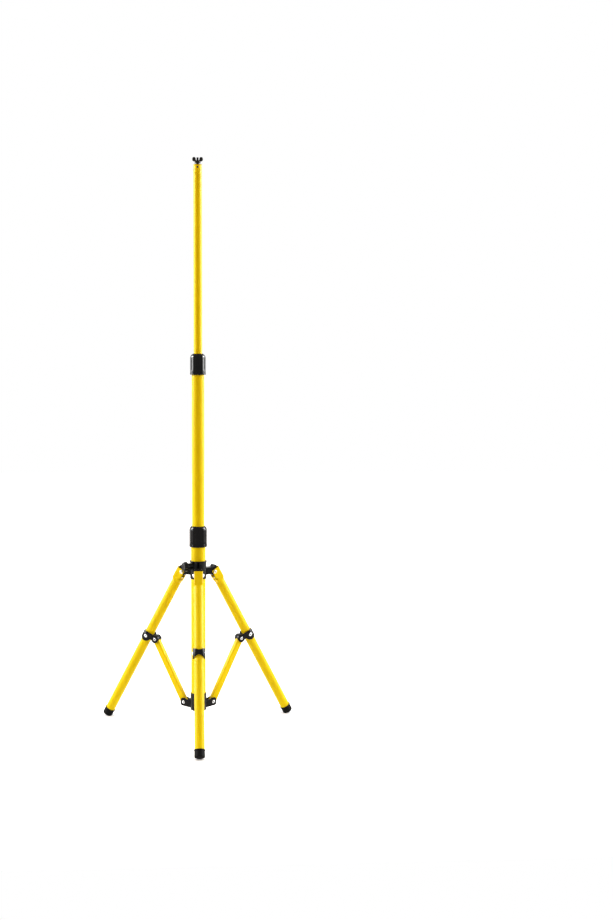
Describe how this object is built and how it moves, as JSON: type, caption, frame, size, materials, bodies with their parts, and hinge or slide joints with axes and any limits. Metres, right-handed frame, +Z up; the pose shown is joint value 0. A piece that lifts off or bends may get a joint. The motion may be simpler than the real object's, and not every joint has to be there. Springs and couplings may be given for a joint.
{
  "type": "work light tripod stand",
  "caption": "Telescopic tripod stand for a work light, with a twist-lock mast, braced folding legs, rubber feet and a stud with wing nut for the lamp.",
  "frame": {"origin": "on the mast axis at floor level, with the mast fully extended and the legs spread", "axes": "+Z up along the mast, the front leg towards -Y, the others 120 degrees either side"},
  "size_m": [0.5186, 0.4529, 1.4954],
  "materials": {
    "yellow_paint": "gloss powder coat on steel tube",
    "black_plastic": "moulded, glossy",
    "zinc_steel": "bright zinc plate",
    "brass": "machined",
    "foot_rubber": "matt"
  },
  "bodies": {
    "mast": {"lower_tube": "yellow_paint", "mast_end_plug": "black_plastic", "runner": "black_plastic", "runner_pin_1": "zinc_steel", "runner_pin_2": "zinc_steel", "runner_pin_3": "zinc_steel", "lower_lock_sleeve": "black_plastic"},
    "lower_collet": {"lower_collet": "black_plastic"},
    "lower_nut": {"lower_lock_nut": "black_plastic"},
    "mid_bush": {"mid_bush": "black_plastic"},
    "mid": {"mid_tube": "yellow_paint", "upper_lock_sleeve": "black_plastic"},
    "upper_collet": {"upper_collet": "black_plastic"},
    "upper_nut": {"upper_lock_nut": "black_plastic"},
    "top_bush": {"top_bush": "black_plastic"},
    "top": {"top_tube": "yellow_paint", "top_plug": "black_plastic", "plug_rivet": "zinc_steel", "lamp_stud": "zinc_steel"},
    "washer": {"lamp_washer": "zinc_steel"},
    "wing": {"wing_nut": "zinc_steel"},
    "hub": {"hub": "black_plastic", "hub_insert": "brass"},
    "clamp_pad": {"clamp_pad": "black_plastic"},
    "clamp_knob": {"clamp_screw": "zinc_steel", "clamp_knob": "black_plastic"},
    "leg_1": {"leg_1": "yellow_paint", "foot_1": "foot_rubber", "bracket_1": "black_plastic", "hinge_pin_1": "zinc_steel", "bracket_rivet_1": "zinc_steel", "strut_pin_1": "zinc_steel"},
    "strut_1": {"strut_1": "yellow_paint"},
    "leg_2": {"leg_2": "yellow_paint", "foot_2": "foot_rubber", "bracket_2": "black_plastic", "hinge_pin_2": "zinc_steel", "bracket_rivet_2": "zinc_steel", "strut_pin_2": "zinc_steel"},
    "strut_2": {"strut_2": "yellow_paint"},
    "leg_3": {"leg_3": "yellow_paint", "foot_3": "foot_rubber", "bracket_3": "black_plastic", "hinge_pin_3": "zinc_steel", "bracket_rivet_3": "zinc_steel", "strut_pin_3": "zinc_steel"},
    "strut_3": {"strut_3": "yellow_paint"}
  },
  "joints": [
    {"name": "mid_slide", "type": "slide", "parent": "mast", "child": "mid_bush", "axis": [0, 0, 1], "range_m": [-0.385, 0]},
    {"name": "mid_swivel", "type": "hinge", "parent": "mid_bush", "child": "mid", "pos_m": [0, 0, 0.6], "axis": [0, 0, 1], "continuous": true},
    {"name": "top_slide", "type": "slide", "parent": "mid", "child": "top_bush", "axis": [0, 0, 1], "range_m": [-0.446, 0]},
    {"name": "top_swivel", "type": "hinge", "parent": "top_bush", "child": "top", "pos_m": [0, 0, 1.2], "axis": [0, 0, 1], "continuous": true},
    {"name": "lower_collet_slide", "type": "slide", "parent": "mast", "child": "lower_collet", "axis": [0, 0, 1], "range_m": [0, 0.0015]},
    {"name": "lower_nut_turn", "type": "hinge", "parent": "lower_collet", "child": "lower_nut", "pos_m": [0, 0, 0.515], "axis": [0, 0, 1], "range_deg": [0, 181]},
    {"name": "upper_collet_slide", "type": "slide", "parent": "mid", "child": "upper_collet", "axis": [0, 0, 1], "range_m": [0, 0.0015]},
    {"name": "upper_nut_turn", "type": "hinge", "parent": "upper_collet", "child": "upper_nut", "pos_m": [0, 0, 0.966], "axis": [0, 0, 1], "range_deg": [0, 181]},
    {"name": "washer_lift", "type": "slide", "parent": "top", "child": "washer", "axis": [0, 0, 1], "range_m": [0, 0.01]},
    {"name": "wing_nut_turn", "type": "hinge", "parent": "washer", "child": "wing", "pos_m": [0, 0, 1.482], "axis": [0, 0, 1], "range_deg": [0, 3605]},
    {"name": "hub_slide", "type": "slide", "parent": "mast", "child": "hub", "axis": [0, 0, 1], "range_m": [0, 0.036]},
    {"name": "clamp_pad_slide", "type": "slide", "parent": "hub", "child": "clamp_pad", "axis": [-0.866, -0.5, 0], "range_m": [0, 0.002]},
    {"name": "clamp_knob_turn", "type": "hinge", "parent": "clamp_pad", "child": "clamp_knob", "pos_m": [-0.02858, -0.0165, 0.438], "axis": [-0.866, -0.5, 0], "range_deg": [0, 722]},
    {"name": "leg_1_hinge", "type": "hinge", "parent": "hub", "child": "leg_1", "pos_m": [0, -0.0445, 0.419], "axis": [1, 0, 0], "range_deg": [0, 16.6]},
    {"name": "strut_1_hinge", "type": "hinge", "parent": "leg_1", "child": "strut_1", "pos_m": [0, -0.12882, 0.22906], "axis": [1, 0, 0], "range_deg": [-35.7, 0]},
    {"name": "leg_2_hinge", "type": "hinge", "parent": "hub", "child": "leg_2", "pos_m": [-0.03854, 0.02225, 0.419], "axis": [-0.5, -0.866, 0], "range_deg": [0, 16.6]},
    {"name": "strut_2_hinge", "type": "hinge", "parent": "leg_2", "child": "strut_2", "pos_m": [-0.11156, 0.06441, 0.22906], "axis": [-0.5, -0.866, 0], "range_deg": [-35.7, 0]},
    {"name": "leg_3_hinge", "type": "hinge", "parent": "hub", "child": "leg_3", "pos_m": [0.03854, 0.02225, 0.419], "axis": [-0.5, 0.866, 0], "range_deg": [0, 16.6]},
    {"name": "strut_3_hinge", "type": "hinge", "parent": "leg_3", "child": "strut_3", "pos_m": [0.11156, 0.06441, 0.22906], "axis": [-0.5, 0.866, 0], "range_deg": [-35.7, 0]}
  ],
  "couplings": [
    {"joint": "lower_nut_turn", "follows": "lower_collet_slide", "rad_per_m": 2094.4},
    {"joint": "upper_nut_turn", "follows": "upper_collet_slide", "rad_per_m": 2094.4},
    {"joint": "wing_nut_turn", "follows": "washer_lift", "rad_per_m": 6283.2},
    {"joint": "clamp_knob_turn", "follows": "clamp_pad_slide", "rad_per_m": 6283.2},
    {"joint": "leg_1_hinge", "follows": "hub_slide", "rad_per_m": 8.0096},
    {"joint": "strut_1_hinge", "follows": "hub_slide", "rad_per_m": -17.263},
    {"joint": "leg_2_hinge", "follows": "hub_slide", "rad_per_m": 8.0096},
    {"joint": "strut_2_hinge", "follows": "hub_slide", "rad_per_m": -17.263},
    {"joint": "leg_3_hinge", "follows": "hub_slide", "rad_per_m": 8.0096},
    {"joint": "strut_3_hinge", "follows": "hub_slide", "rad_per_m": -17.263}
  ]
}
